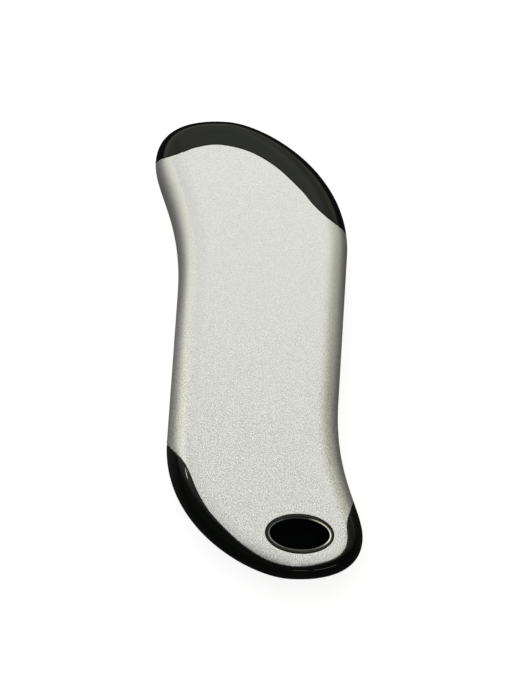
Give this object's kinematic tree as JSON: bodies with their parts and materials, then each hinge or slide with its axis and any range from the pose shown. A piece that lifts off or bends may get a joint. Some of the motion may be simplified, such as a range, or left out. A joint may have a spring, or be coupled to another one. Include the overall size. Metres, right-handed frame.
{
  "type": "rechargeable hand warmer",
  "caption": "Palm-sized electric hand warmer: S-shaped silver body with black end caps, a lanyard eye, a charging socket and a push button.",
  "frame": {"origin": "middle of the box round the unit, on the plane of its front face, which it lies on", "axes": "+Y along the grip towards the end with the sockets, +X across it, +Z from the front face to the rear face"},
  "size_m": [0.0606, 0.1179, 0.025],
  "materials": {
    "satin_silver": "satin, fine speckle",
    "gloss_black": "gloss",
    "moulded_black": "matt",
    "moulded_white": "matt",
    "clear_lens": "clear",
    "emitter_body": "moulded",
    "cell_wrap": "shrink-wrapped can",
    "nickel": "bright",
    "bright_steel": "bright",
    "heater_film": "film",
    "grey_foam": "foam",
    "board_green": "lacquered",
    "ceramic_tan": "fired",
    "ferrite": "matt",
    "lead_red": "insulated lead",
    "lead_black": "insulated lead",
    "lead_yellow": "insulated lead"
  },
  "bodies": {
    "housing": {"rear_shell": "satin_silver", "front_shell": "satin_silver", "top_cap": "gloss_black", "bottom_cap": "gloss_black", "lanyard_eyelet": "gloss_black", "switch_body": "moulded_black", "status_light_pipe": "clear_lens", "status_led_1": "emitter_body", "status_led_2": "emitter_body", "status_led_3": "emitter_body", "status_led_4": "emitter_body", "main_board": "board_green", "usb_output_shell": "bright_steel", "usb_output_tongue": "moulded_white", "micro_usb_shell": "bright_steel", "micro_usb_tongue": "moulded_black", "control_chip_1": "moulded_black", "control_chip_2": "moulded_black", "control_chip_3": "moulded_black", "power_inductor": "ferrite", "board_capacitor_1": "ceramic_tan", "board_capacitor_2": "ceramic_tan", "front_heater_connector": "ceramic_tan", "rear_heater_connector": "ceramic_tan", "board_screw_1": "bright_steel", "board_screw_2": "bright_steel", "board_screw_3": "bright_steel", "board_screw_4": "bright_steel", "cap_screw_1": "bright_steel", "cap_screw_2": "bright_steel", "upper_cell_holder": "moulded_white", "lower_cell_holder": "moulded_white", "left_cell": "cell_wrap", "right_cell": "cell_wrap", "positive_strip": "nickel", "negative_strip": "nickel", "front_heater_film": "heater_film", "rear_heater_film": "heater_film", "front_foam_pad": "grey_foam", "rear_foam_pad": "grey_foam", "thermistor": "moulded_black", "positive_lead": "lead_red", "negative_lead": "lead_black", "thermistor_lead": "lead_yellow"},
    "button": {"power_button": "gloss_black", "switch_plunger": "moulded_white"}
  },
  "joints": [
    {"name": "button_press", "type": "slide", "parent": "housing", "child": "button", "axis": [-0.5832, -0.8123, 0], "range_m": [0, 0.0005], "stiffness_N_per_m": 1500}
  ]
}
